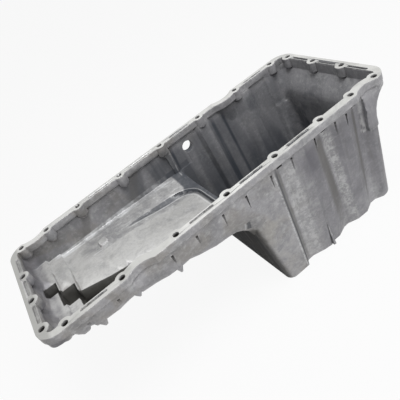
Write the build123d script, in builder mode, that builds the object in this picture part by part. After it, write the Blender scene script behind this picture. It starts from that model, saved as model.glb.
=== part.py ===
from build123d import *
from math import cos, radians, sin, tan
import os

# Engine oil pan, one aluminium casting. Origin: centre of the gasket face. +X points to the deep end, +Z up.
# All sizes in millimetres.

# gasket flange
flange_length = 559
flange_width = 232
flange_thickness = 11
flange_corner = 27
land = 12
land_corner = 9
boss_radius = 9.5

# bolt pattern of the flange: each hole has a twin, half a turn round the origin
bolt_hole = 9
bolt_depth = 20
side_pitch = 80
side_count = 6
side_first = -156
side_row = 108
end_row = 270.5
end_pitch = 62
end_count = 3
end_middle = 27
extra_bolts = ((-213.5, 107), (-258, 107))

# pads inside the wall that carry the bolt holes, and narrow slots outside, either side of each side bolt
pad_depth = 16
pad_cone = 8
slot_offset = 19
slot_width = 3.4
slot_height = 21
slot_middle = -27
slot_depth = 4.5
slot_lean = 86

# scoops in the outer edge, round which the flange bends inwards: places along one half of the pattern
scoop_depth = 7.5
scoop_width = 40
scoop_places = ((140, 1), (-236, 1))
scoop_height = 44
scoop_taper = 8

# grooves in the gasket face, between the bolts
groove_width = 4.5
groove_depth = 2.5
groove_length = 38
groove_turn = 26

# walls
wall = 7
floor_thickness = 5.5
overhang = 1.5
draft = 3

# shallow end, along its length: floor height, width and fullness of the round near side, rise to the far wall
shelf = (
    (-267, -36, 74, 0.3, 0.4),
    (-261, -43, 78, 0.3, 0.4),
    (-244.5, -43, 75, 0.3, 0.4),
    (-243, -48, 71, 0.35, 0.4),
    (-222.5, -48, 65, 0.45, 0.4),
    (-221, -53, 64, 0.5, 0.4),
    (-190, -54, 60, 0.5, 0.4),
    (-172, -54.6, 72, 0.5, 0.4),
    (-166, -54.8, 72, 0.5, 0.4),
    (-156, -55.1, 56, 0.5, 0.4),
    (-135, -55.7, 48, 0.5, 1),
    (-118, -57, 40, 0.5, 2),
    (-96, -58.8, 41, 0.5, 3),
    (-84, -59.8, 45, 0.5, 3.5),
    (-71, -60.9, 36, 0.5, 4),
    (-45, -63.5, 28, 0.5, 6),
    (-14, -66.5, 28, 0.5, 8.5),
    (8, -68, 28, 0.5, 9),
)
end_floor = -18
brow = -13
far_round = 12
floor_end = 40
root_start = -24
root_round = 34
root_steps = (0, 20, 40, 55, 68, 80)

# stiffening ribs across the underside of the shallow end: place, half width of the tip, height
fins = ((-254, 1, 7), (-236, 3, 10), (-214, 1, 11), (-161, 1, 8), (-101, 1, 9.5))
fin_foot = 3.5

# ramp down the middle of the shallow floor, easing from the shelf to a lip by the sump
ramp_top = -43
ramp_start = (-150, -55.3)
ramp_foot = (-10, -72.5)
ramp_ease = 50
ramp_stop = 6
ramp_far = 66
ramp_near = -42
ramp_corner = 34

# drain trough along the near side of the shallow floor: plan corners of its three stretches
trough_top = -38
trough_draft = 3
trough_corner = 3
trough_head = ((-266, 15), (-246, 15), (-246, 40), (-266, 40))
trough_middle = ((-249, -20), (-224, -20), (-224, 17), (-249, 17))
trough_main = ((-228, -45), (40, -48), (40, -38), (-120, -27), (-176, -16), (-228, 0))
trough_runs = ((trough_head, -62), (trough_middle, -70), (trough_main, -74))

# small features of the shallow end: square pad on the floor, pilaster on the far wall
floor_pad = (-158, 66, 15, 3.5)
pilaster_x = 8
pilaster_width = 10
pilaster_proud = 5
pilaster_height = 62

# sump
sump_depth = 212
sump_floor = 7
sump_front_top = -1
sump_front_bottom = 26.5
sump_rear_top = 253
sump_rear_bottom = 260
sump_half_bottom = 98
sump_corner = 12
rear_corner_grow = 10
wave_top = 0.7
wave_round = 2.5
near_wave = (
    (64, 0), (69, 8), (80, 8.5), (101, 2), (113, 0), (118, 3.5),
    (134, 3.5), (151, 10.5), (160, 11), (177, 4), (196, 3.5), (213, 12), (223, 12), (236, 5),
)
far_wave = (
    (61, 0), (69, 0), (75, 7.5), (92, 8), (100, 1), (152, 0),
    (169, 8), (182, 8.5), (192, 1), (220, 1), (227, 8), (236, 7),
)

# thick skirt under the flange round the deep end, curving in to the rear wall below it
skirt_start = 228
skirt_depth = 18
skirt_round = 70
skirt_steps = (50, 40, 30, 20, 10, 0)
skirt_side = 0.2
skirt_corner = 25
skirt_corner_foot = 15

# dipstick port in the far wall and drain in the rear wall
port_x = 45
port_z = -31
port_bore = 19
port_boss = 32
drain_z = -186
drain_bore = 20.5
drain_boss = 38
drain_proud = 6

# rib down the lower part of the near wall of the sump
rib_x = 117
rib_thickness = 4
rib_proud = 3.5
rib_height = 62

half_length = flange_length / 2
half_width = flange_width / 2
top = -flange_thickness
tub_half = half_width - overhang
tub_end = overhang - half_length
scoop_radius = (scoop_width**2 / 4 + scoop_depth**2) / (2 * scoop_depth)
scoop_reach = half_width - scoop_depth + scoop_radius


def twins(places):
    """The places of one half of the flange, and the same turned half a turn about the origin."""
    return list(places) + [(-x, -y) for x, y in places]


side_bolts = twins([(side_first + side_pitch * i, side_row) for i in range(side_count)] + [extra_bolts[0]])
end_bolts = twins([(end_row, end_middle + end_pitch * (i - 1)) for i in range(end_count)])
corner_bolts = twins([extra_bolts[1]])
bolts = side_bolts + end_bolts + corner_bolts
side_grooves = twins([(side_first + side_pitch * (i + 0.5), side_row) for i in (0, 1, 2, 4)])
end_grooves = twins([(end_row, end_middle + end_pitch * (i - 1.5)) for i in range(end_count)])
scoops = twins([(x, side * scoop_reach) for x, side in scoop_places])


def between(stations, x):
    """Values at a place x, read in a straight line between two stations; zeros outside them all."""
    for (a, *low), (b, *high) in zip(stations, stations[1:]):
        if a <= x <= b:
            return [v + (x - a) / (b - a) * (w - v) for v, w in zip(low, high)]
    return [0] * (len(stations[0]) - 1)


def tub_section(station, half, height, far):
    """Cross section of the shallow end at one place along its length."""
    x, floor, run, fullness, rise = station
    near = run - half
    foot = brow + fullness * (floor - brow)
    with BuildSketch(Plane.YZ.offset(x)) as section:
        with BuildLine():
            Line((-half, height), (-half, brow))
            Bezier((-half, brow), (-half, foot), (near - fullness * run, floor), (near, floor))
            Polyline((near, floor), (ramp_far, floor), (half - far, floor + rise))
            RadiusArc((half - far, floor + rise), (half, floor + rise + far), -far)
            Line((half, floor + rise + far), (half, height))
            Line((half, height), (-half, height))
        make_face()
    return section.sketch.face()


def underside():
    """Stations of the outer floor: the shelf, the ribs across it and the hollow curve into the sump."""
    line = [(x, low, *side) for x, low, *side in shelf if x < root_start]
    for x, tip, proud in fins:
        low, *side = between(shelf, x)
        for step, drop in ((tip, proud), (tip + fin_foot, 0)):
            line.append((x - step, low - drop, *side))
            line.append((x + step, low - drop, *side))
    low, *side = between(shelf, root_start)
    for angle in root_steps:
        turned = radians(angle)
        line.append((root_start + root_round * sin(turned), low - root_round * (1 - cos(turned)), *side))
    return sorted((x, low - floor_thickness, *side) for x, low, *side in line)


def tub(inset, height, floor, line):
    """Solid of the shallow end, from its end wall to inside the sump, through stations of its floor."""
    end = tub_end + inset
    half = tub_half - inset
    far = far_round - inset
    stations = [(end, floor, shelf[0][2] / 2, *shelf[0][3:])] + line + [(floor_end, *line[-1][1:])]
    length = sump_rear_top - end
    with BuildPart() as body:
        loft(sections=[tub_section(station, half, height, far) for station in stations], ruled=True)
        with BuildSketch(Plane.XY.offset(height)):
            with Locations((end + length / 2, 0)):
                RectangleRounded(length, 2 * half, flange_corner - overhang - inset)
        extrude(amount=-sump_depth / 2, taper=draft, mode=Mode.INTERSECT)
    return body.part


def trough(corners, grow, depth):
    """One stretch of the drain trough, or with a growth the metal round it."""
    with BuildPart() as body:
        with BuildSketch(Plane.XY.offset(trough_top - grow)) as plan:
            with BuildLine():
                Polyline(*corners, close=True)
            make_face()
            fillet(plan.vertices(), trough_corner)
            if grow > 0:
                offset(amount=grow)
        extrude(amount=depth - trough_top + grow, taper=trough_draft)
    return body.part


def ramp(grow, drop):
    """The channel of the ramp, or with a growth the metal round it."""
    start = (ramp_start[0], ramp_start[1] - drop)
    foot = (ramp_foot[0], ramp_foot[1] - drop)
    end = ramp_stop + grow
    far = ramp_far + grow
    near = ramp_near - grow
    with BuildPart() as body:
        with BuildSketch(Plane.XZ):
            with BuildLine():
                Bezier(start, (start[0] + ramp_ease, start[1]), (foot[0] - ramp_ease, foot[1]), foot)
                Polyline(foot, (end, foot[1]), (end, ramp_top), (start[0], ramp_top), start)
            make_face()
        extrude(amount=far, both=True)
        with BuildSketch(Plane.XY.offset(ramp_top)) as plan:
            with BuildLine():
                Polyline((start[0], near), (end, near), (end, far), (start[0], far), close=True)
            make_face()
            fillet(plan.vertices().group_by(Axis.X)[-1].sort_by(Axis.Y)[-1], ramp_corner + grow)
        extrude(amount=-sump_depth / 2, mode=Mode.INTERSECT)
    return body.part


def sump_section(height, front, rear, half, wave, front_corner, rear_corner):
    """Plan outline of the sump at one height, with waves along its two sides."""
    near = [(x, wave * y - half) for x, y in near_wave]
    far = [(x, half - wave * y) for x, y in far_wave]
    back = [(rear, near[-1][1]), (rear, far[-1][1])]
    corners = [(front, -half)] + near + back + far[::-1] + [(front, half)]
    with BuildSketch(Plane.XY.offset(height)) as section:
        with BuildLine():
            Polyline(*corners, close=True)
        make_face()
        waves = [v for v in section.vertices() if front + 1 < v.X < rear - 1]
        fillet(waves, wave_round)
        fillet(section.vertices().group_by(Axis.X)[0], front_corner)
        fillet(section.vertices().group_by(Axis.X)[-1], rear_corner)
    return section.sketch.face()


def sump(inset, height, bottom):
    """Solid of the sump between two heights, inset from its outer faces."""

    def section(z):
        share = (top - z) / (top + sump_depth)
        front = sump_front_top + share * (sump_front_bottom - sump_front_top)
        rear = sump_rear_top + share * (sump_rear_bottom - sump_rear_top)
        half = tub_half + share * (sump_half_bottom - tub_half)
        wave = wave_top + share * (1 - wave_top)
        corner = sump_corner - inset
        ends = (corner, corner + share * rear_corner_grow)
        return sump_section(z, front + inset, rear - inset, half - inset, wave, *ends)

    return loft(sections=[section(height), section(bottom)], ruled=True)


def skirt(inset, start, height, spare):
    """Upper part of the deep end, inset from the edge of the flange; its foot curves in, less the spare."""
    steepest = cos(radians(skirt_steps[0]))
    levels = [(height, 0, 0)]
    for angle in skirt_steps:
        fall = skirt_round * (sin(radians(skirt_steps[0])) - sin(radians(angle)))
        step = skirt_round * (cos(radians(angle)) - steepest)
        levels.append((-skirt_depth - fall, max(step - spare, 0), fall))
    deepest = levels[-1][2]
    sections = []
    for z, step, fall in levels:
        long = half_length - inset - step - start
        corner = skirt_corner + (skirt_corner_foot - skirt_corner) * fall / deepest
        with BuildSketch(Plane.XY.offset(z)) as section:
            with Locations((start + long / 2, 0)):
                Rectangle(long, 2 * (half_width - inset - skirt_side * step))
            fillet(section.vertices().group_by(Axis.X)[-1], corner - inset)
        sections.append(section.sketch.face())
    return loft(sections=sections, ruled=True)


def at_scoops(grow):
    """Discs of the scoops, or with a growth the cores of the wall round them."""
    with BuildSketch(Plane.XY.offset(top)) as discs:
        with Locations(*scoops):
            Circle(scoop_radius + overhang + grow)
    return discs.sketch


def in_scoop(x, y):
    """Whether a place on a side row lies where the outer edge is scooped out."""
    return any(abs(x - a) < scoop_width / 2 + 3 and y * b > 0 for a, b in scoops)


with BuildPart() as outside:
    add(tub(0, top, end_floor - floor_thickness, underside()))
    add(ramp(wall - 1, floor_thickness))
    for corners, depth in trough_runs:
        add(trough(corners, wall - 2, depth - floor_thickness))
    add(sump(0, top, -sump_depth))
    add(skirt(overhang, skirt_start, top, 0))
    extrude(at_scoops(0), amount=-scoop_height, taper=scoop_taper, mode=Mode.SUBTRACT)

with BuildPart() as inside:
    add(tub(wall, 0, end_floor, list(shelf)))
    add(ramp(0, 0))
    for corners, depth in trough_runs:
        add(trough(corners, 0, depth))
    add(sump(wall, 0, sump_floor - sump_depth))
    add(skirt(land, skirt_start - wall, 0, land - wall - overhang))
    extrude(at_scoops(wall), amount=-scoop_height, taper=scoop_taper, mode=Mode.SUBTRACT)

    # pads of the bolt holes
    with BuildSketch():
        with Locations(*bolts):
            Circle(boss_radius)
    extrude(amount=-pad_depth, mode=Mode.SUBTRACT)
    with BuildSketch(Plane.XY.offset(-pad_depth)):
        with Locations(*bolts):
            Circle(boss_radius)
    extrude(amount=-pad_cone, taper=45, mode=Mode.SUBTRACT)

    # square pad on the floor and pilaster on the far wall
    pad_x, pad_y, pad_side, pad_rise = floor_pad
    with BuildSketch(Plane.XY.offset(between(shelf, pad_x)[0] - 1)):
        with Locations((pad_x, pad_y)):
            RectangleRounded(pad_side, pad_side, 2)
    extrude(amount=pad_rise + 1, taper=4, mode=Mode.SUBTRACT)
    with BuildSketch():
        with Locations((pilaster_x, tub_half - wall)):
            Rectangle(pilaster_width, 2 * pilaster_proud)
    extrude(amount=-pilaster_height, mode=Mode.SUBTRACT)

with BuildSketch() as opening:
    RectangleRounded(flange_length - 2 * land, flange_width - 2 * land, land_corner)
    with Locations(*bolts):
        Circle(boss_radius, mode=Mode.SUBTRACT)
    with Locations(*scoops):
        Circle(scoop_radius + land, mode=Mode.SUBTRACT)

with BuildSketch() as flange:
    RectangleRounded(flange_length, flange_width, flange_corner)
    with Locations(*scoops):
        Circle(scoop_radius, mode=Mode.SUBTRACT)
    add(opening.sketch, mode=Mode.SUBTRACT)

with BuildPart() as oil_pan:
    add(outside.part)

    # bosses of the dipstick port and of the drain
    with BuildSketch(Plane.XZ.offset(-half_width)):
        with Locations((port_x, port_z)):
            Circle(port_boss / 2)
    extrude(amount=wall)
    with BuildSketch(Plane.YZ.offset(sump_rear_bottom - wall)):
        with Locations((0, drain_z)):
            Circle(drain_boss / 2)
    extrude(amount=wall + drain_proud)

    # rib down the lower part of the near wall of the sump
    with BuildSketch(Plane.XY.offset(-sump_depth)):
        with Locations((rib_x, -sump_half_bottom)):
            Rectangle(rib_thickness, 2 * rib_proud)
    extrude(amount=rib_height, taper=2)

    add(inside.part, mode=Mode.SUBTRACT)
    extrude(flange.sketch, amount=-flange_thickness)
    with Locations(*bolts):
        Hole(bolt_hole / 2, bolt_depth)

    # port and drain bores
    with Locations(Location((port_x, half_width, port_z), (90, 0, 0))):
        Hole(port_bore / 2, 3 * wall)
    with Locations(Location((sump_rear_bottom + drain_proud + 1, 0, drain_z), (0, 90, 0))):
        Hole(drain_bore / 2, 4 * wall)

    # slots outside, either side of each side bolt, deeper where the wall waves inwards
    for x, y in side_bolts:
        for place in (x - slot_offset, x + slot_offset):
            if in_scoop(place, y):
                continue
            side = 1 if y > 0 else -1
            wave = between(far_wave if y > 0 else near_wave, place)[0]
            depth = slot_depth + wave_top * wave
            with BuildSketch(Plane.XZ.offset(side * (depth - half_width))):
                with Locations((place, slot_middle)):
                    Trapezoid(slot_width, slot_height, slot_lean, rotation=180)
            extrude(amount=-side * 2 * depth, mode=Mode.SUBTRACT)

    # grooves in the gasket face, bent round the scoops between the side bolts
    with BuildSketch() as grooves:
        with Locations(*side_grooves):
            SlotOverall(groove_length, groove_width)
        with Locations(*end_grooves):
            SlotOverall(groove_length, groove_width, rotation=90)
        for x, y in scoops:
            if abs(x) < half_length / 2:
                middle = -90 if y > 0 else 90
                with BuildLine():
                    bend = CenterArc((x, y), scoop_radius + land / 2, middle - groove_turn / 2, groove_turn)
                SlotArc(bend, groove_width)
    extrude(amount=-groove_depth, mode=Mode.SUBTRACT)

os.makedirs("parts", exist_ok=True)
oil_pan.part.label = "oil_pan"
export_step(oil_pan.part, "parts/oil_pan.step")
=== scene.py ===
"""Dresses the oil pan as a rough aluminium casting with a milled gasket face, on a pale studio floor."""

import math

import bmesh
import bpy
from mathutils import Matrix, Vector


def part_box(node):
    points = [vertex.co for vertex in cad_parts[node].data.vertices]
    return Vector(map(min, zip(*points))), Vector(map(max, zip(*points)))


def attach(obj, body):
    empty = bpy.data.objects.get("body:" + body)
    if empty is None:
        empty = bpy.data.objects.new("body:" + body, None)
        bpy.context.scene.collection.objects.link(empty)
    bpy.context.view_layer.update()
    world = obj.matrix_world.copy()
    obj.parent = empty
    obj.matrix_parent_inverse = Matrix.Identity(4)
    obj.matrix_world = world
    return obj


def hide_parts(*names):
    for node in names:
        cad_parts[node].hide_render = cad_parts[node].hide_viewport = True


bl_info = {
    "name": "Oil Pan Dressing",
    "version": (1, 0, 0),
    "blender": (4, 5, 0),
    "location": "View3D > Sidebar > Oil Pan",
    "description": "Gives an engine oil pan its cast finish and sets it on a studio floor",
    "category": "Object",
}

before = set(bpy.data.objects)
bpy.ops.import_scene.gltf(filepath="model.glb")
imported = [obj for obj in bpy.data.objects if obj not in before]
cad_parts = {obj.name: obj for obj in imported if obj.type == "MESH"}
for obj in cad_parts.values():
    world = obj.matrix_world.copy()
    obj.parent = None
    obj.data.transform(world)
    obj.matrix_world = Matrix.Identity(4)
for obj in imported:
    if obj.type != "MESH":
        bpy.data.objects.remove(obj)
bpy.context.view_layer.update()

NODE = "oil_pan"

# Places on the casting, in metres. A pair is where a mask starts and where it is full. Three values are a
# span and the softness of its ends.
#
# The milled face with its painted highlights and painted shade, its grooves and the bolt holes
GASKET_Z = (-0.0012, -0.0004)
GROOVE_Z = (-0.0029, -0.0021, 0.0003)
HOLE_TOP_Z = (-0.0017, -0.0036)
HOLE_BOTTOM_Z = (-0.021, -0.0205)
BOLT_ROW_Y = (0.1025, 0.1033)
BOLT_ROW_X = (0.265, 0.266)
FACE_HIGHLIGHT_X = (-0.085, 0.03, 0.045)
FACE_HIGHLIGHT_Y = (0.02, -0.03)
FAR_FACE_HIGHLIGHT_Y = (0.02, 0.06)
FACE_SHADE_END_X = (-0.262, -0.268)

# The cast skin of the shallow end, its floor, and the ledge between the ramp and the far wall
SHALLOW_X = (0.12, 0.03)
FLOOR_X = (0.03, 0.0)
LEDGE_X = (-0.2, -0.17)
LEDGE_Y = (0.046, 0.05)
LEDGE_Z = (-0.05, -0.054)

# The outside of the near wall
NEAR_SIDE_Y = (-0.085, -0.098)
NEAR_SIDE_Z = (-0.01, -0.03)
FAIR_X = (0.004, 0.052, 0.014)
FAIR_Z = (-0.06, -0.09)
VIOLET_X = (0.09, 0.125)
VIOLET_PATCH_X = (0.1, 0.135, 0.012)
VIOLET_PATCH_Z = (-0.085, -0.05)
STREAKED_X = (0.05, 0.075)

# The shallow end's inner walls in painted shade, painted shade in the far wall's bays, and its round foot
FAR_WALL_Y = (0.082, 0.094)
END_WALL_X = (-0.252, -0.262)
WALL_TOP_Z = (-0.004, -0.012)
WALL_END_X = (0.02, 0.0)
WALL_DARKEST_X = (-0.13, -0.02)
BAY_Y = (0.09, 0.096)
BAY_Z = (-0.06, -0.008, 0.004)
FOOT_X = (-0.23, -0.012, 0.006)
FOOT_Z = (-0.068, -0.062)
FOOT_FLOOR_Y = (0.0945, 0.0975)
FOOT_WALL_Y = (0.09, 0.094)
FOOT_WALL_Z = (-0.0485, -0.0505)
END_SHADE_X = (-0.249, -0.257)
END_SHADE_Z = (-0.006, -0.016)
END_FLANGE_X = (-0.2735, -0.272)

# The ramp's round corner by the ledge: its middle in x and y, and the lines round it by their distance from
# that middle
RAMP_CORNER = (-0.028, 0.032)
RAMP_RUBBED_HIGHLIGHT = (0.0268, 0.0285, 0.0007)
RAMP_GUTTER = (0.0298, 0.0346, 0.0008)
RAMP_BRIM = (0.0352, 0.0368, 0.0005)
RAMP_X = (-0.135, 0.02, 0.008)
RAMP_TOP_Z = (-0.0572, -0.0592)
RAMP_LIP_Z = (-0.0745, -0.0738)
BRIM_X = (-0.045, -0.03)

# Painted shade inside the sump, on the strip beyond the ramp's lip and on the fall below it
SUMP_SIDE_Y = (0.08, 0.09)
SUMP_FRONT_X = (0.08, 0.06)
SUMP_REAR_X = (0.21, 0.23)
SUMP_SHADE_X = (-0.15, 0.02)
SUMP_SHADE_Z = (-0.004, -0.03)
DEEP_Z = (-0.05, -0.15)
LIP_X = (0.008, 0.002)
SHADE_GAP_X = (0.232, 0.25)
SHADE_GAP_Y = (0.03, -0.01)
PALE_X = (0.14, 0.2, 0.016)
PALE_Z = (-0.14, -0.05)
BEYOND_SLOPE = 0.5
BEYOND_LIP = (-0.043, -0.038)
BEYOND_LIP_Y = (0.025, 0.03)
BEYOND_LIP_Z = (-0.0697, -0.0688)
BEYOND_TIP_X = (-0.008, -0.004)
BEYOND_TIP_Z = (-0.0717, -0.0707)
FALL_X = (-0.016, 0.035, 0.004)
FALL_Z = (-0.045, -0.05)
FOLD_Z = (-0.008, -0.02)
BRIGHT_FOLD_Z = (-0.01, -0.02)

# Painted shade on the outside of the sump's front wall
FRONT_SHADE_X = (-0.03, 0.045, 0.01)
FRONT_SHADE_Z = (-0.07, -0.085)
FRONT_SHADE_HIGH_Z = (-0.19, -0.09)
FRONT_SHADE_NEAR_Y = (-0.08, -0.094)
FRONT_SHADE_FAR_Y = (0.0, 0.09)

# The trough: its far edge as points in x and y, with the slope from each on, and its two heads by their spans
# in x and y and their upper edges
TROUGH_EDGE = ((-0.228, 0.0, -0.308), (-0.176, -0.016, -0.196), (-0.120, -0.027, -0.069))
TROUGH_FAR = (0.001, 0.0)
TROUGH_NEAR_Y = (-0.0485, -0.0475)
TROUGH_X = (-0.2283, 0.0, 0.0005)
TROUGH_Z = (-0.05, -0.052)
TROUGH_FLOOR_Z = (-0.05, -0.06)
TROUGH_HEADS = (
    ((-0.2492, -0.2238, 0.0004), (-0.0202, 0.0172, 0.0004), (-0.042, -0.044)),
    ((-0.2662, -0.2458, 0.0004), (0.0148, 0.0402, 0.0004), (-0.041, -0.043)),
)

# Upright bands of the walls: span along X, softness of the ends, lean along X by height, and share
# The ridges are painted lighter: rough bare skin and a painted highlight
RIDGES = ((0.0755, 0.096, 0.003, 0.0, 1.0), (0.149, 0.163, 0.004, -0.074, 1.0))
# The flutes are painted shade in the near wall
FLUTES = (
    (0.063, 0.0735, 0.002, 0.0, 0.7),
    (0.132, 0.147, 0.004, -0.074, 0.85),
    (0.2065, 0.2125, 0.002, 0.0, 0.75),
)
# The crest is a painted highlight
CREST = ((0.0603, 0.0625, 0.001, 0.0, 1.0),)
# The bays are painted shade in the shallow end's far wall
BAYS = ((-0.058, -0.041, 0.003, 0.56, 1.0), (-0.152, -0.135, 0.004, 0.56, 0.8))
# The folds are painted shade in the sump's far wall
FOLDS = (
    (0.0155, 0.0205, 0.0015, 0.07, 1.0),
    (0.094, 0.106, 0.003, 0.0, 1.0),
    (0.122, 0.127, 0.002, 0.0, 1.0),
)
# The bright fold is a painted highlight
BRIGHT_FOLD = ((0.0118, 0.0138, 0.0008, 0.07, 1.0),)

# Noises: scale, detail, roughness and distortion
CLOUD = (13.0, 3.0, 0.55, 0.8)
BLOTCH = (32.0, 4.0, 0.62, 0.6)
MOTTLE = (95.0, 4.0, 0.62, 0.4)
FLECK = (270.0, 4.0, 0.7, 0.0)
GRAIN = (520.0, 3.0, 0.6, 0.0)
STREAK = (85.0, 4.0, 0.6, 0.5)
BAND = (26.0, 3.0, 0.55, 0.6)
SCRATCH = (190.0, 3.0, 0.65, 0.3)
STREAK_STRETCH = (1.0, 1.0, 0.1)
BAND_STRETCH = (1.0, 1.0, 0.15)
SCRATCH_STRETCH = (0.25, 1.0, 1.0)
SCRATCH_TURN = (0.0, 0.0, 0.9)

# How far stains and painted shade reach out of corners and wear and painted highlights reach in from edges,
# the depth of the skin's relief, and the shader's own settings
CORNER_REACH = 0.016
EDGE_REACH = 0.0035
RELIEF_DEPTH = 0.0012
OCCLUSION_SAMPLES = 6
BEVEL_SAMPLES = 4
SPECULAR = 0.12

# The mesh's clean-up
WELD_DISTANCE = 1e-6
SHARP_ANGLE = math.radians(17.0)
EVEN_WEIGHT = 80

# The stage. The camera's turn is an axis times an angle in radians
CAMERA_PLACE = (-0.14654, -0.54624, 0.32557)
CAMERA_TURN = (2.013, -0.820, -0.162)
SENSOR_WIDTH = 36.0
LAMP_TARGET = (0.0, 0.0, -0.08)
LAMPS = (("key", (0.25, -0.55, 1.5), 1.1), ("fill", (1.3, -1.2, 0.5), 0.9))
FLOOR_WHITE = 0.92
WHITE = (1.0, 1.0, 1.0, 1.0)


# Shader arithmetic -----------------------------------------------------------------------------


class Wire:
    """An output socket that takes part in ordinary arithmetic, each step of it one Math node."""

    def __init__(self, shader, socket):
        self.shader = shader
        self.socket = socket

    def math(self, operation, *others, clamp=False):
        settings = {"operation": operation, "use_clamp": clamp}
        return self.shader.node("ShaderNodeMath", settings, dict(enumerate((self, *others)))).out("Value")

    def __add__(self, other):
        return self.math("ADD", other)

    def __mul__(self, other):
        return self.math("MULTIPLY", other)

    def __sub__(self, other):
        return self.math("SUBTRACT", other)

    def __rsub__(self, other):
        return (self * -1.0) + other

    def __pow__(self, other):
        return self.math("POWER", other)

    __radd__ = __add__
    __rmul__ = __mul__

    def __abs__(self):
        return self.math("ABSOLUTE")

    def larger(self, other):
        return self.math("MAXIMUM", other)

    def clamped(self):
        return self.math("ADD", 0.0, clamp=True)

    def step(self, low, high):
        """0 at low and 1 at high, smooth between and flat beyond; low may be the larger."""
        values = {"Value": self, "From Min": low, "From Max": high}
        settings = {"interpolation_type": "SMOOTHSTEP"}
        return self.shader.node("ShaderNodeMapRange", settings, values).out("Result")

    def within(self, low, high, soft):
        """1 between two limits and 0 outside them, smooth over a width of soft each side of a limit."""
        return self.step(low - soft, low + soft) * self.step(high + soft, high - soft)


class Made:
    """A node just made, and the way to its outputs, by name or by number."""

    def __init__(self, shader, node):
        self.shader = shader
        self.node = node

    def out(self, key):
        return Wire(self.shader, self.node.outputs[key])


class Shader:
    """The node tree of a new material or a new world."""

    def __init__(self, owner, output="ShaderNodeOutputMaterial"):
        self.owner = owner
        owner.use_nodes = True
        self.tree = owner.node_tree
        self.tree.nodes.clear()
        self.output = self.node(output).node

    def node(self, kind, settings=None, values=None):
        """A new node: its settings are set first, and then each socket gets a value or a link."""
        node = self.tree.nodes.new(kind)
        for key, value in (settings or {}).items():
            setattr(node, key, value)
        for key, value in (values or {}).items():
            if isinstance(value, Wire):
                self.tree.links.new(value.socket, node.inputs[key])
            else:
                node.inputs[key].default_value = value
        return Made(self, node)

    def surface(self, wire):
        self.tree.links.new(wire.socket, self.output.inputs["Surface"])

    def axes(self, vector):
        split = self.node("ShaderNodeSeparateXYZ", None, {"Vector": vector})
        return split.out("X"), split.out("Y"), split.out("Z")

    def stretched(self, vector, scale, turn=(0.0, 0.0, 0.0)):
        values = {"Vector": vector, "Scale": scale, "Rotation": turn}
        return self.node("ShaderNodeMapping", None, values).out("Vector")

    def noise(self, vector, scale, detail, rough, warp):
        values = {"Vector": vector, "Scale": scale, "Detail": detail, "Roughness": rough, "Distortion": warp}
        return self.node("ShaderNodeTexNoise", None, values).out("Fac")

    def blend(self, share, first, second):
        """A colour between two, by a share. The Mix node's colour sockets go by number."""
        settings = {"data_type": "RGBA", "blend_type": "MIX"}
        return self.node("ShaderNodeMix", settings, {0: share, 6: first, 7: second}).out(2)

    def bend(self, share, first, second):
        """A direction between two, by a share. The Mix node's vector sockets go by number."""
        return self.node("ShaderNodeMix", {"data_type": "VECTOR"}, {0: share, 4: first, 5: second}).out(1)


def rgba(colour):
    return (colour[0], colour[1], colour[2], 1.0)


# Finishes --------------------------------------------------------------------------------------


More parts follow.
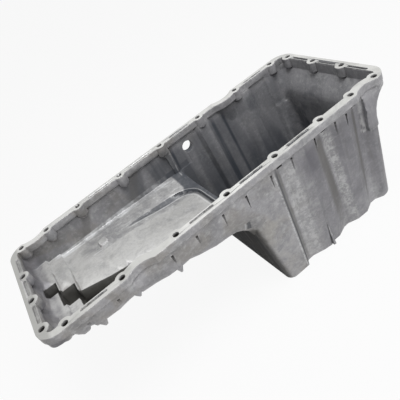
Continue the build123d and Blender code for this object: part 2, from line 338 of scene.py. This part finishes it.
class CastSkin(Shader):
    """Sand-cast aluminium, milled on the gasket face, with stains, rubbed edges, painted shade and painted
    highlights.

    Its coordinates and noises are made first, and then each layer is painted over the ones before it.
    """

    def __init__(self, look):
        super().__init__(bpy.data.materials.new("cast_aluminium"))
        self.look = look
        self.colour = rgba(look.cast_cool)
        place = self.node("ShaderNodeTexCoord").out("Object")
        self.x, self.y, self.z = self.axes(place)
        self.nx, self.ny, self.nz = self.axes(self.node("ShaderNodeNewGeometry").out("Normal"))
        self.level = self.nz.step(0.9, 0.98)
        self.up = self.nz.step(0.5, 0.85)
        self.milled = self.level * self.z.step(*GASKET_Z)

        self.cloud = self.noise(place, *CLOUD)
        self.blotch = self.noise(place, *BLOTCH)
        self.mottle = self.noise(place, *MOTTLE)
        self.fleck = self.noise(place, *FLECK)
        self.grain = self.noise(place, *GRAIN)
        self.streak = self.noise(self.stretched(place, STREAK_STRETCH), *STREAK)
        self.band = self.noise(self.stretched(place, BAND_STRETCH), *BAND)
        self.scratch = self.noise(self.stretched(place, SCRATCH_STRETCH, SCRATCH_TURN), *SCRATCH)

        self.open_air = self.occlusion(CORNER_REACH, False)
        self.thick = self.occlusion(EDGE_REACH, True)

    def occlusion(self, reach, inside):
        """How open the skin is: 1 where nothing lies within reach, outside it or inside the metal."""
        settings = {"samples": OCCLUSION_SAMPLES, "only_local": True, "inside": inside}
        return self.node("ShaderNodeAmbientOcclusion", settings, {"Distance": reach}).out("AO")

    def paint(self, share, finish):
        """Lay a colour over the skin, by a share."""
        self.colour = self.blend(share, self.colour, rgba(finish))

    def upright(self, bands):
        """A mask of upright bands in a side wall."""
        mask = 0.0
        for low, high, soft, lean, share in bands:
            along = self.x - self.z * lean if lean else self.x
            mask = along.within(low, high, soft) * share + mask
        return mask

    def skin(self):
        """The cast skin: grey, warm along the shallow end and cool along the sump, in clouds."""
        x, y, z, up, look = self.x, self.y, self.z, self.up, self.look
        blotch, cloud, mottle, fleck = self.blotch, self.cloud, self.mottle, self.fleck
        self.paint(x.step(*SHALLOW_X) * cloud.step(0.42, 0.6), look.cast_warm)
        self.paint((up * x.step(*FLOOR_X)) * 0.85, look.floor_colour)
        self.ledge = up * y.step(*LEDGE_Y) * x.step(*LEDGE_X) * z.step(*LEDGE_Z)
        self.paint(self.ledge * (0.35 + blotch.step(0.35, 0.6) * 0.4), look.skin_dark)

        patch = (blotch.step(0.44, 0.66) * 0.55 + cloud.step(0.48, 0.66) * 0.4).clamped()
        self.paint(patch * (1.0 - up * 0.35), look.skin_dark)
        bare = (mottle.step(0.5, 0.34) * 0.35 + self.scratch.step(0.56, 0.7) * 0.35).clamped()
        self.paint(bare, look.bare_and_highlight_colour)
        self.paint(fleck.step(0.45, 0.7) * 0.26, look.skin_dark)
        self.paint(fleck.step(0.5, 0.3) * 0.34, look.bare_and_highlight_colour)

    def near_side(self):
        """The near wall's outside: fair in front, violet behind, painted shade in flutes, painted highlights
        on ridges.
        """
        x, z, look, streak = self.x, self.z, self.look, self.streak
        side = self.y.step(*NEAR_SIDE_Y) * self.ny.step(-0.1, -0.4) * z.step(*NEAR_SIDE_Z)
        fair = side * x.within(*FAIR_X) * z.step(*FAIR_Z) * self.blotch.step(0.62, 0.42)
        self.paint(fair * 0.35, look.fair_colour)

        self.ridge = side * self.upright(RIDGES)
        violet = x.step(*VIOLET_X) * 0.5 + x.within(*VIOLET_PATCH_X) * z.step(*VIOLET_PATCH_Z) * 0.4
        violet = side * (violet * (0.25 + self.cloud * 1.5) * (1.0 - self.ridge * 0.6)).clamped()
        self.paint(violet, look.violet_and_shade_colour)
        # Painted shade in the flutes
        self.paint(side * (self.upright(FLUTES) * (0.6 + streak * 0.8)).clamped(), look.stain_and_shade_colour)
        self.paint(side * x.step(*STREAKED_X) * streak.step(0.46, 0.74) * 0.35, look.stain_and_shade_colour)
        rough_skin = (self.fleck * 0.5 + self.mottle * 0.5).step(0.55, 0.43)
        # Ridges painted lighter: rough bare skin and a painted highlight
        self.paint(self.ridge * (0.12 + rough_skin * 0.55), look.bare_and_highlight_colour)
        # A painted highlight along the crest
        self.paint(side * self.upright(CREST) * self.fleck.step(0.62, 0.45) * 0.5, look.rubbed_and_highlight_colour)

    def corners_and_edges(self):
        """Stains and painted shade in the corners, and edges rubbed bare and brightened as painted
        highlights.
        """
        # Stains and painted shade where the skin is enclosed
        self.corner = self.open_air.step(0.8, 0.45) * self.mottle.step(0.3, 0.6)
        self.paint(self.corner * 0.55, self.look.stain_and_shade_colour)
        # Edges rubbed bare and brightened as painted highlights
        edge = self.thick.step(0.9, 0.6) * self.mottle.step(0.6, 0.42) * (1.0 - self.milled)
        self.paint(edge * 0.6, self.look.bare_and_highlight_colour)

    def shallow_walls(self):
        """Painted shade on the shallow end's inner walls, bays and end wall, and a painted highlight on the
        foot.
        """
        x, y, z, look, blotch = self.x, self.y, self.z, self.look, self.blotch
        facing_in = self.ny.step(-0.5, -0.85)
        wall = facing_in * y.step(*FAR_WALL_Y) + self.nx.step(0.4, 0.8) * x.step(*END_WALL_X)
        wall = wall.clamped() * z.step(*WALL_TOP_Z) * x.step(*WALL_END_X)
        wall = wall * (0.4 + self.band.step(0.36, 0.6) * 0.65) * (0.62 + x.step(*WALL_DARKEST_X) * 0.38)
        # Painted shade on the upright inner walls, darkest towards the sump
        self.paint((wall * look.wall_shade).clamped(), look.wall_shade_colour)

        # Painted shade in the far wall's bays
        bay = self.upright(BAYS) * facing_in * y.step(*BAY_Y) * z.within(*BAY_Z)
        self.paint((bay * (0.5 + self.streak * 0.35)).clamped(), look.stain_and_shade_colour)

        # A painted highlight along the far wall's rounded foot, partly rubbed bare
        heel = self.up * y.step(*FOOT_FLOOR_Y)
        heel = heel + (1.0 - self.up) * y.step(*FOOT_WALL_Y) * z.step(*FOOT_WALL_Z)
        self.foot = heel.clamped() * self.ny.step(0.2, 0.0) * z.step(*FOOT_Z) * x.within(*FOOT_X)
        wear_and_painted_light = 0.14 + blotch.step(0.6, 0.42) * 0.42 + self.mottle.step(0.5, 0.42) * 0.18
        self.paint(self.foot * wear_and_painted_light, look.rubbed_and_highlight_colour)

        # Painted shade on the end wall, in the violet grey
        end = x.step(*END_SHADE_X) * z.step(*END_SHADE_Z) * (0.35 + blotch.step(0.35, 0.6) * 0.35)
        self.paint(end * x.step(*END_FLANGE_X), look.violet_and_shade_colour)

    def ramp(self):
        """The ramp's edge: painted shade in the gutter, a rubbed line that is also a painted highlight, and
        scratches.
        """
        x, z, look = self.x, self.z, self.look
        past_x = (x - RAMP_CORNER[0]).larger(0.0)
        past_y = (self.y - RAMP_CORNER[1]).larger(0.0)
        self.reach = (past_x ** 2.0 + past_y ** 2.0) ** 0.5
        self.ramp_end = x.within(*RAMP_X) * z.step(*RAMP_TOP_Z) * z.step(*RAMP_LIP_Z)
        # Painted shade in the gutter by the ramp's edge
        gutter = self.ramp_end * self.reach.within(*RAMP_GUTTER) * (0.7 + self.blotch * 0.3)
        self.paint(gutter * 0.8, look.dark_shade_colour)
        # A rubbed line that is also a painted highlight
        self.paint(self.ramp_end * self.reach.within(*RAMP_RUBBED_HIGHLIGHT) * 0.45, look.rubbed_and_highlight_colour)
        scuff = self.ledge * self.scratch.step(0.52, 0.64) * self.blotch.step(0.55, 0.4)
        self.paint(scuff * 0.35, look.rubbed_and_highlight_colour)

    def sump_shading(self):
        """Painted shade inside the sump from the ramp's lip on, with painted highlights on the brim and one
        fold.
        """
        x, y, z, up, look = self.x, self.y, self.z, self.up, self.look
        far_side = y.step(*SUMP_SIDE_Y)
        inner = (y * self.ny).step(0.004, -0.004).larger(self.nz.step(0.2, 0.5))
        inner = inner.larger(self.nx.step(-0.1, -0.3) * x.step(*SUMP_REAR_X) * abs(self.ny).step(0.8, 0.6))
        inner = inner.larger(self.nx.step(0.3, 0.5) * x.step(*SUMP_FRONT_X))

        # Painted shade inside the sump: darker lower down, lighter at the rear and in pale patches
        sump_shade = inner * x.step(*SUMP_SHADE_X) * z.step(*SUMP_SHADE_Z) * (1.0 - up * x.step(*LIP_X))
        shade_gap = (self.cloud.step(0.4, 0.55) * 0.6).larger(y.step(*SHADE_GAP_Y) * 0.72) * x.step(*SHADE_GAP_X)
        sump_shade = sump_shade * (0.72 + z.step(*DEEP_Z) * 0.2) * (1.0 - shade_gap)
        sump_shade = sump_shade * (0.64 + self.band.step(0.32, 0.62) * 0.42)
        pale = x.within(*PALE_X) * far_side * z.step(*PALE_Z) * self.cloud.step(0.62, 0.4)
        sump_shade = sump_shade * (1.0 - pale * 0.3)

        # Painted shade on the strip beyond the ramp's lip
        beyond = z.step(*BEYOND_LIP_Z) * (x - y * BEYOND_SLOPE).step(*BEYOND_LIP) * y.step(*BEYOND_LIP_Y)
        beyond = beyond.larger(z.step(*BEYOND_TIP_Z) * x.step(*BEYOND_TIP_X))
        beyond = up * beyond * (0.78 + self.mottle * 0.3)
        # Painted shade in the far wall's folds and on the fall below the ramp's lip
        fold = inner * self.upright(FOLDS) * far_side * z.step(*FOLD_Z)
        fall = inner * (1.0 - up) * x.within(*FALL_X) * z.step(*FALL_Z)
        self.sump_shade = (sump_shade + fold * 0.3).larger(beyond).larger(fall * 0.9)
        self.paint((self.sump_shade * look.sump_shade_share).clamped(), look.dark_shade_colour)

        # Painted highlights on the ramp's brim and on one fold of the far wall
        brim = self.ramp_end * up * self.reach.within(*RAMP_BRIM) * x.step(*BRIM_X)
        self.paint(brim * 0.45, look.bare_and_highlight_colour)
        bright_fold = inner * self.upright(BRIGHT_FOLD) * far_side * z.step(*BRIGHT_FOLD_Z)
        self.paint(bright_fold * self.mottle.step(0.62, 0.4) * 0.45, look.bare_and_highlight_colour)

    def trough_shading(self):
        """The trough and its two heads, by their outline in plan, painted dark as shade."""
        x, y, z = self.x, self.y, self.z
        edge = None
        for from_x, from_y, slope in TROUGH_EDGE:
            stretch = (x - from_x) * slope + from_y
            edge = edge.larger(stretch) if edge else stretch
        # Painted shade in the trough and its heads
        low = z.step(*TROUGH_Z) * x.within(*TROUGH_X) * (y - edge).step(*TROUGH_FAR) * y.step(*TROUGH_NEAR_Y)
        for span_x, span_y, top in TROUGH_HEADS:
            low = low.larger(x.within(*span_x) * y.within(*span_y) * z.step(*top))
        self.trough = low * (0.86 + z.step(*TROUGH_FLOOR_Z) * 0.08 + self.mottle * 0.1)
        self.paint((self.trough * self.look.trough_shade_share).clamped(), self.look.trough_shade_colour)

    def front_shading(self):
        """Painted shade on the sump's front wall, lighter towards the far side."""
        y, z = self.y, self.z
        # Painted shade on the front wall, which faces away from the lamps
        self.under = self.nx.step(-0.4, -0.95) * self.x.within(*FRONT_SHADE_X) * z.step(*FRONT_SHADE_Z)
        front_shade = 0.84 + z.step(*FRONT_SHADE_HIGH_Z) * 0.12 - self.blotch * 0.12
        front_shade = front_shade - self.streak.step(0.5, 0.7) * 0.2 - y.step(*FRONT_SHADE_NEAR_Y) * 0.15
        self.paint((self.under * front_shade * (1.0 - y.step(*FRONT_SHADE_FAR_Y) * 0.35)).clamped(), self.look.front_shade_colour)

    def gasket_face(self):
        """The milled face: dull patches, painted highlights, painted shade at the left end, groove dirt, hole
        shade.
        """
        x, y, z, look = self.x, self.y, self.z, self.look
        # A painted highlight mid near side, a lesser one on the far side, and painted shade at the left end
        face_highlight = x.within(*FACE_HIGHLIGHT_X) * y.step(*FACE_HIGHLIGHT_Y)
        wear_and_painted_light = 0.5 - face_highlight * 0.4 + self.blotch.step(0.4, 0.7) * 0.3 - y.step(*FAR_FACE_HIGHLIGHT_Y) * 0.15
        face = self.blend(wear_and_painted_light.clamped(), rgba(look.milled_colour), rgba(look.milled_dull_and_shade))
        face = self.blend(self.scratch.step(0.6, 0.75) * 0.3, face, rgba(look.milled_dull_and_shade))
        face = self.blend(x.step(*FACE_SHADE_END_X) * 0.9, face, rgba(look.milled_dull_and_shade))
        self.colour = self.blend(self.milled, self.colour, face)

        self.groove = self.level * z.within(*GROOVE_Z)
        bolt_rows = abs(y).step(*BOLT_ROW_Y).larger(abs(x).step(*BOLT_ROW_X))
        # Painted shade in the bolt holes, where the skin is enclosed; the grooves get a little dirt
        self.hole_shade = self.open_air.step(0.66, 0.4) * z.step(*HOLE_TOP_Z) * z.step(*HOLE_BOTTOM_Z)
        self.hole_shade = self.hole_shade * bolt_rows * (1.0 - self.groove)
        self.paint((self.groove * 0.3).larger(self.hole_shade), look.hole_shade_and_groove_colour)

    def relief(self):
        """Rounded edges and a fine relief on the cast skin; the milled face stays flat and nearly smooth."""
        height = self.blotch * 0.3 + self.mottle * (0.5 + self.ridge * 0.6)
        height = (height + self.grain * 0.3 + self.scratch * 0.2) * (1.0 - self.milled * 0.94)
        radius = {"Radius": self.look.edge_radius}
        rounded = self.node("ShaderNodeBevel", {"samples": BEVEL_SAMPLES}, radius).out("Normal")
        flat = self.node("ShaderNodeNewGeometry").out("Normal")
        base = self.bend(self.milled, rounded, flat)
        strength = self.look.cast_relief
        values = {"Height": height, "Strength": strength, "Distance": RELIEF_DEPTH, "Normal": base}
        return self.node("ShaderNodeBump", None, values).out("Normal")

    def finished(self):
        """The whole finish, as a material."""
        self.skin()
        self.near_side()
        self.corners_and_edges()
        self.shallow_walls()
        self.ramp()
        self.sump_shading()
        self.trough_shading()
        self.front_shading()
        self.gasket_face()

        metal = self.look.metal_share
        # Dirt and painted shade make the skin rougher and less metallic
        dirt_and_shade = (self.sump_shade + self.trough + self.under + self.corner * 0.6 + self.groove + self.hole_shade).clamped()
        rough = 0.52 + (self.mottle - 0.5) * 0.3 - self.milled * 0.14 + dirt_and_shade * 0.12
        rough = rough + self.under * 0.25 - self.foot * 0.15
        values = {
            "Base Color": self.colour,
            "Roughness": rough.clamped(),
            "Metallic": (metal + self.milled * 0.35 - dirt_and_shade * metal).clamped(),
            "Normal": self.relief(),
            "Specular IOR Level": SPECULAR,
        }
        self.surface(self.node("ShaderNodeBsdfPrincipled", None, values).out("BSDF"))
        return self.owner


def seen_white(shader, share, plain, glow):
    """A surface that is plain to the light and glows white to the camera and in reflections, by a share."""
    ray = shader.node("ShaderNodeLightPath")
    seen = ray.out("Is Camera Ray").larger(ray.out("Is Glossy Ray")).larger(ray.out("Is Transmission Ray"))
    mixed = {0: seen * share, 1: plain, 2: glow}
    shader.surface(shader.node("ShaderNodeMixShader", None, mixed).out("Shader"))
    return shader.owner


def white_ground(name, colour, share):
    """A matt ground that looks near white to the camera and in reflections, and still takes a shadow."""
    shader = Shader(bpy.data.materials.new(name))
    matt = shader.node("ShaderNodeBsdfDiffuse", None, {"Color": rgba(colour)}).out("BSDF")
    glow = shader.node("ShaderNodeEmission", None, {"Color": WHITE, "Strength": 1.0}).out("Emission")
    return seen_white(shader, share, matt, glow)


def even_sky(strength):
    """Even light from everywhere, which looks white to the camera and in reflections."""
    shader = Shader(bpy.data.worlds.new("sky"), "ShaderNodeOutputWorld")

    def background(power):
        values = {"Color": WHITE, "Strength": power}
        return shader.node("ShaderNodeBackground", None, values).out("Background")

    return seen_white(shader, 1.0, background(strength), background(1.0))


# Sizes and colours that a user would change ----------------------------------------------------


def colour_property(name, description, default):
    return bpy.props.FloatVectorProperty(
        name=name, description=description, subtype="COLOR", size=3, min=0.0, max=1.0, default=default
    )


def share_property(name, description, default):
    return bpy.props.FloatProperty(
        name=name, description=description, subtype="FACTOR", min=0.0, max=1.0, default=default
    )


def length_property(name, description, default):
    return bpy.props.FloatProperty(
        name=name, description=description, subtype="DISTANCE", unit="LENGTH", min=0.0, default=default
    )


def power_property(name, description, default):
    return bpy.props.FloatProperty(
        name=name, description=description, subtype="POWER", unit="POWER", min=0.0, default=default
    )


class OilPanLook(bpy.types.PropertyGroup):
    """The casting's finish."""

    cast_cool: colour_property("Cast skin", "Grey of the cast skin", (0.40, 0.395, 0.41))
    cast_warm: colour_property("Cast skin, warm", "Warmer grey along the shallow end", (0.38, 0.36, 0.34))
    skin_dark: colour_property("Cast skin, dark", "Darker clouds in the skin", (0.26, 0.26, 0.268))
    # Also painted highlights on edges, ridges, the ramp's brim and a fold
    bare_and_highlight_colour: colour_property("Bare metal", "Skin that is scratched or rubbed bare", (0.58, 0.58, 0.58))
    floor_colour: colour_property("Floor", "Pale grey of the shallow floor and the ramp", (0.60, 0.60, 0.585))
    # Painted shade on the shallow end's upright inner walls
    wall_shade_colour: colour_property("Inner walls", "Dull skin of the shallow end's walls", (0.10, 0.102, 0.108))
    # Also painted highlights along the far wall's foot, the crest and the ramp's edge
    rubbed_and_highlight_colour: colour_property("Rubbed lines", "Bright lines along the edges", (0.80, 0.81, 0.82))
    fair_colour: colour_property("Fair skin", "Clean skin at the sump's near corner", (0.50, 0.485, 0.455))
    # Also painted shade on the end wall
    violet_and_shade_colour: colour_property("Violet skin", "Violet grey towards the sump's rear", (0.17, 0.166, 0.184))
    # Also painted shade in corners, flutes and bays
    stain_and_shade_colour: colour_property("Stain", "Old dirt in corners and streaks", (0.17, 0.165, 0.16))
    # Painted shade inside the sump and in the ramp's gutter
    dark_shade_colour: colour_property("Oil film", "Metal under a film of old oil", (0.060, 0.066, 0.078))
    # Painted shade in the trough
    trough_shade_colour: colour_property("Trough", "Metal at the bottom of the trough", (0.045, 0.044, 0.040))
    # Painted shade on the sump's front wall
    front_shade_colour: colour_property("Front of the sump", "Soot on the sump's front wall", (0.030, 0.029, 0.026))
    milled_colour: colour_property("Milled face", "Freshly milled metal", (0.80, 0.80, 0.78))
    # Also painted shade on the milled face's left end and outside its painted highlights
    milled_dull_and_shade: colour_property("Milled face, dull", "Milled metal that has gone dull", (0.40, 0.40, 0.385))
    # Painted shade in the bolt holes, and dirt in the grooves
    hole_shade_and_groove_colour: colour_property("Holes and grooves", "Dirt in the holes and grooves", (0.035, 0.034, 0.032))
    # How strong the painted shade inside the sump is
    sump_shade_share: share_property("Oil in the sump", "How dark the deep walls are", 0.95)
    # How strong the painted shade on the upright inner walls is
    wall_shade: share_property("Dull inner walls", "How dull the upright inner walls are", 0.75)
    # How strong the painted shade in the trough is
    trough_shade_share: share_property("Oil in the trough", "How dark the trough is", 1.0)
    cast_relief: share_property("Cast relief", "Strength of the skin's relief", 0.55)
    metal_share: share_property("Metal", "How metallic the cast skin is", 0.35)
    edge_radius: length_property("Edge radius", "How far the cast edges are rounded", 0.0022)


class OilPanStage(bpy.types.PropertyGroup):
    """Floor, lamps and camera."""

    floor_side: length_property("Floor side", "Length of each side of the floor", 30.0)
    floor_colour: colour_property("Floor", "Colour of the floor", (0.62, 0.62, 0.62))
    key_power: power_property("Key lamp", "Power of the key lamp", 25.0)
    fill_power: power_property("Fill lamp", "Power of the fill lamp", 5.0)
    sky_strength: bpy.props.FloatProperty(
        name="Sky", description="Strength of the even light", min=0.0, default=0.28
    )
    lens: bpy.props.FloatProperty(
        name="Lens", description="Focal length", subtype="DISTANCE_CAMERA", min=1.0, default=41.27
    )


# The casting -----------------------------------------------------------------------------------


class OILPAN_OT_casting(bpy.types.Operator):
    """Make the casting from the node in model.glb, with its curved faces smooth and its finish on"""

    bl_idname = "oilpan.casting"
    bl_label = "Casting"

    def execute(self, context):
        mesh = bpy.data.meshes.new("casting")
        bm = bmesh.new()
        bm.from_mesh(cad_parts[NODE].data)
        bmesh.ops.remove_doubles(bm, verts=bm.verts, dist=WELD_DISTANCE)
        bm.to_mesh(mesh)
        bm.free()
        mesh.shade_smooth()
        mesh.set_sharp_from_angle(angle=SHARP_ANGLE)
        mesh.materials.clear()
        mesh.materials.append(CastSkin(context.scene.oilpan_look).finished())

        casting = bpy.data.objects.new("casting", mesh)
        context.scene.collection.objects.link(casting)
        normals = casting.modifiers.new("even normals", "WEIGHTED_NORMAL")
        normals.keep_sharp = True
        normals.weight = EVEN_WEIGHT
        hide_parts(NODE)
        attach(casting, "root")
        return {"FINISHED"}


# Floor, lamps and camera -----------------------------------------------------------------------


def lamp(name, place, size, power):
    """A round soft lamp at a place, aimed at the casting."""
    data = bpy.data.lights.new(name, "AREA")
    data.shape = "DISK"
    data.size = size
    data.energy = power
    made = bpy.data.objects.new(name, data)
    made.location = place
    made.rotation_euler = (Vector(LAMP_TARGET) - Vector(place)).to_track_quat("-Z", "Y").to_euler()
    bpy.context.scene.collection.objects.link(made)


def camera_matrix():
    """The camera's place and turn. The turn is kept for Y down and Z ahead, so both are flipped here."""
    turn = Vector(CAMERA_TURN)
    facing = Matrix.Rotation(turn.length, 3, turn.normalized())
    flipped = Matrix((facing[0], -facing[1], -facing[2])).transposed()
    return Matrix.Translation(CAMERA_PLACE) @ flipped.to_4x4()


class OILPAN_OT_stage(bpy.types.Operator):
    """Lay the floor under the sump and set up the lamps, the sky and the camera"""

    bl_idname = "oilpan.stage"
    bl_label = "Stage"

    def execute(self, context):
        scene = context.scene
        stage = scene.oilpan_stage
        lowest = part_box(NODE)[0].z
        mesh = bpy.data.meshes.new("floor")
        bm = bmesh.new()
        bmesh.ops.create_grid(bm, x_segments=1, y_segments=1, size=stage.floor_side / 2)
        bmesh.ops.translate(bm, verts=bm.verts, vec=(0.0, 0.0, lowest))
        bm.to_mesh(mesh)
        bm.free()
        mesh.materials.append(white_ground("floor", stage.floor_colour, FLOOR_WHITE))
        floor = bpy.data.objects.new("floor", mesh)
        scene.collection.objects.link(floor)

        for (name, place, size), power in zip(LAMPS, (stage.key_power, stage.fill_power)):
            lamp(name, place, size, power)
        scene.world = even_sky(stage.sky_strength)

        data = bpy.data.cameras.new("camera")
        data.sensor_width = SENSOR_WIDTH
        data.lens = stage.lens
        camera = bpy.data.objects.new("camera", data)
        camera.matrix_world = camera_matrix()
        scene.collection.objects.link(camera)
        scene.camera = camera
        scene.view_settings.view_transform = "Standard"
        return {"FINISHED"}


# Panel and registration ------------------------------------------------------------------------


class OILPAN_PT_panel(bpy.types.Panel):
    """The casting and its stage"""

    bl_idname = "OILPAN_PT_panel"
    bl_label = "Oil Pan"
    bl_space_type = "VIEW_3D"
    bl_region_type = "UI"
    bl_category = "Oil Pan"

    def draw(self, context):
        for group in (context.scene.oilpan_look, context.scene.oilpan_stage):
            column = self.layout.column()
            for name in group.__annotations__:
                column.prop(group, name)
        for operator in OPERATORS:
            self.layout.operator(operator.bl_idname)


OPERATORS = (OILPAN_OT_casting, OILPAN_OT_stage)
CLASSES = (OilPanLook, OilPanStage, *OPERATORS, OILPAN_PT_panel)


def register():
    for made in CLASSES:
        bpy.utils.register_class(made)
    bpy.types.Scene.oilpan_look = bpy.props.PointerProperty(type=OilPanLook)
    bpy.types.Scene.oilpan_stage = bpy.props.PointerProperty(type=OilPanStage)


def unregister():
    del bpy.types.Scene.oilpan_stage
    del bpy.types.Scene.oilpan_look
    for made in reversed(CLASSES):
        bpy.utils.unregister_class(made)


def main():
    register()
    bpy.ops.oilpan.casting()
    bpy.ops.oilpan.stage()


if __name__ == "__main__":
    main()
